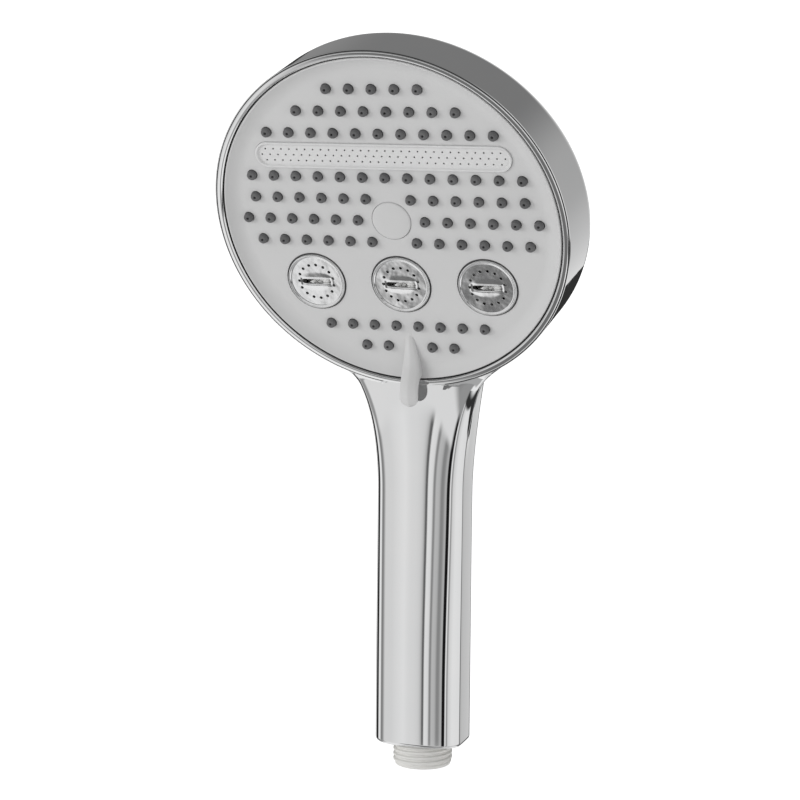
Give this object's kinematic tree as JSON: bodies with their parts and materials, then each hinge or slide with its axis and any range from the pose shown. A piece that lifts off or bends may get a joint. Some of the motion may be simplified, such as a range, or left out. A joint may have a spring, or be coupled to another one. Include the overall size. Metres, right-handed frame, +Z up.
{
  "type": "handheld shower head",
  "caption": "Chromed hand shower with a round tilted head whose grey face turns by a lever between rain, mist and massage sprays; threaded hose inlet at the handle's end.",
  "frame": {"origin": "centre of the inlet's end face, on the handle's axis", "axes": "+Z up the handle towards the head, -Y towards the side that the face sprays, +X to the right seen from the spray side"},
  "size_m": [0.1258, 0.0786, 0.257],
  "materials": {
    "chrome": "mirror-bright chrome plate on ABS",
    "face_plastic": "light grey moulded ABS, fine satin",
    "nozzle_rubber": "dark grey soft silicone",
    "mist_plastic": "light grey satin plastic",
    "inlet_plastic": "warm white moulded plastic",
    "inner_plastic": "natural white moulded plastic",
    "turbine_plastic": "natural acetal",
    "green_plastic": "green moulded plastic",
    "seal_rubber": "black nitrile rubber",
    "brass": "turned brass",
    "steel": "stainless steel"
  },
  "bodies": {
    "handset": {"housing": "chrome", "trim_ring": "chrome", "waterway": "inlet_plastic", "waterway_o_rings": "seal_rubber", "flow_restrictor": "green_plastic", "inlet_screen": "steel", "manifold": "inner_plastic", "manifold_screws": "steel", "pivot_spindle": "brass", "spindle_o_ring": "seal_rubber", "port_seal": "seal_rubber", "port_spring": "steel", "detent_spring": "steel", "pivot_washer": "steel", "pivot_screw": "steel"},
    "spray_face": {"faceplate": "face_plastic", "nozzle_mat": "nozzle_rubber", "chamber_plate": "inner_plastic", "mist_insert": "mist_plastic", "massage_insert_left": "chrome", "massage_insert_middle": "chrome", "massage_insert_right": "chrome", "turbine_pins": "steel", "centre_cap": "face_plastic"},
    "turbine_wheel_left": {"turbine_left": "turbine_plastic"},
    "turbine_wheel_middle": {"turbine_middle": "turbine_plastic"},
    "turbine_wheel_right": {"turbine_right": "turbine_plastic"},
    "detent": {"detent_ball": "steel"}
  },
  "joints": [
    {"name": "face_turn", "type": "hinge", "parent": "handset", "child": "spray_face", "pos_m": [0, -0.037, 0.1937], "axis": [0, -0.9157, -0.4019], "range_deg": [-30, 30]},
    {"name": "turbine_left_spin", "type": "hinge", "parent": "spray_face", "child": "turbine_wheel_left", "pos_m": [-0.031, -0.01911, 0.17534], "axis": [0, -0.9157, -0.4019], "continuous": true},
    {"name": "turbine_middle_spin", "type": "hinge", "parent": "spray_face", "child": "turbine_wheel_middle", "pos_m": [0, -0.01911, 0.17534], "axis": [0, -0.9157, -0.4019], "continuous": true},
    {"name": "turbine_right_spin", "type": "hinge", "parent": "spray_face", "child": "turbine_wheel_right", "pos_m": [0.031, -0.01911, 0.17534], "axis": [0, -0.9157, -0.4019], "continuous": true},
    {"name": "detent_travel", "type": "slide", "parent": "handset", "child": "detent", "axis": [0, 0.9157, 0.4019], "range_m": [0, 0.0008], "stiffness_N_per_m": 600, "springref_m": -0.001, "deforming": ["detent_spring"]}
  ]
}
